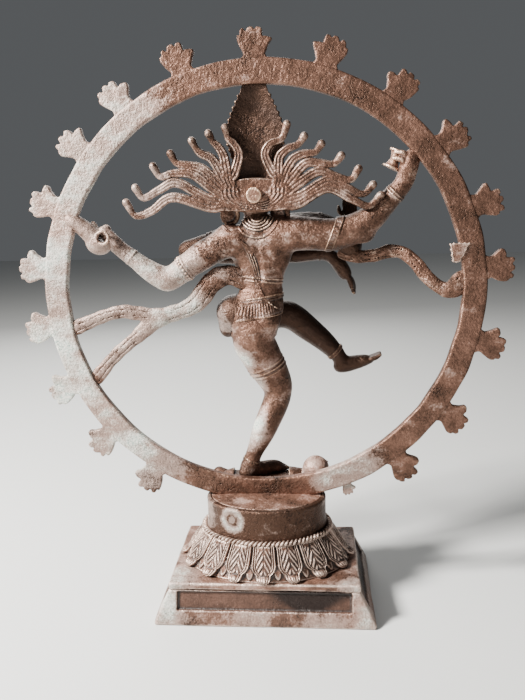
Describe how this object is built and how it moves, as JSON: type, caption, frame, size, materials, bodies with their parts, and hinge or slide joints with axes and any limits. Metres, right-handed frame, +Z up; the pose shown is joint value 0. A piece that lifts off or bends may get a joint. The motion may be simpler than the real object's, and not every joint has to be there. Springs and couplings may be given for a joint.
{
  "type": "dancing figure statue",
  "caption": "Cast brass four-armed dancer in a ring of flames, on a lotus pedestal with a hollow base; hair fan pegged to the back of the head.",
  "frame": {"origin": "on the floor under the middle of the pedestal", "axes": "+Z up, +Y towards the back of the figure, which faces -Y; +X is the figure's left"},
  "size_m": [0.3918, 0.116, 0.456],
  "materials": {
    "patina_brass": "old patina, satin, warm brown with rubbed edges",
    "verdigris_brass": "old patina with a pale grey-green bloom",
    "dark_brass": "dark oxidised patina",
    "bare_brass": "rubbed bare brass, satin"
  },
  "bodies": {
    "root": {"anklets": "patina_brass", "armlets": "patina_brass", "crown": "dark_brass", "dwarf_body": "dark_brass", "dwarf_head": "verdigris_brass", "dwarf_limbs": "dark_brass", "ear_hoops": "patina_brass", "fire_bowl": "verdigris_brass", "flame_left_1": "patina_brass", "flame_left_2": "patina_brass", "flame_left_3": "patina_brass", "flame_left_4": "patina_brass", "flame_left_5": "patina_brass", "flame_left_6": "patina_brass", "flame_left_7": "patina_brass", "flame_left_8": "patina_brass", "flame_left_9": "patina_brass", "flame_right_1": "patina_brass", "flame_right_2": "patina_brass", "flame_right_3": "patina_brass", "flame_right_4": "patina_brass", "flame_right_5": "patina_brass", "flame_right_6": "patina_brass", "flame_right_7": "patina_brass", "flame_right_8": "patina_brass", "flame_right_9": "patina_brass", "flame_ring": "patina_brass", "flame_top": "patina_brass", "foot_tenon": "bare_brass", "front_left_arm": "dark_brass", "front_left_hand": "dark_brass", "front_right_arm": "dark_brass", "front_right_hand": "dark_brass", "hair_fan": "patina_brass", "hair_peg": "bare_brass", "hand_drum": "patina_brass", "head": "patina_brass", "hips": "patina_brass", "left_scarf": "verdigris_brass", "lotus_mound": "patina_brass", "lotus_petals": "patina_brass", "plinth": "verdigris_brass", "plinth_slab": "patina_brass", "raised_foot": "dark_brass", "raised_leg": "dark_brass", "rear_left_arm": "verdigris_brass", "rear_left_hand": "verdigris_brass", "rear_right_arm": "patina_brass", "rear_right_hand": "patina_brass", "right_scarf": "patina_brass", "ring_lug": "bare_brass", "ring_wedge": "bare_brass", "rope_bead": "patina_brass", "scarf_tab": "patina_brass", "seat_deck": "patina_brass", "seat_drum": "patina_brass", "standing_foot": "patina_brass", "standing_leg": "verdigris_brass", "trunk": "patina_brass", "waist_belt": "patina_brass"}
  },
  "joints": []
}
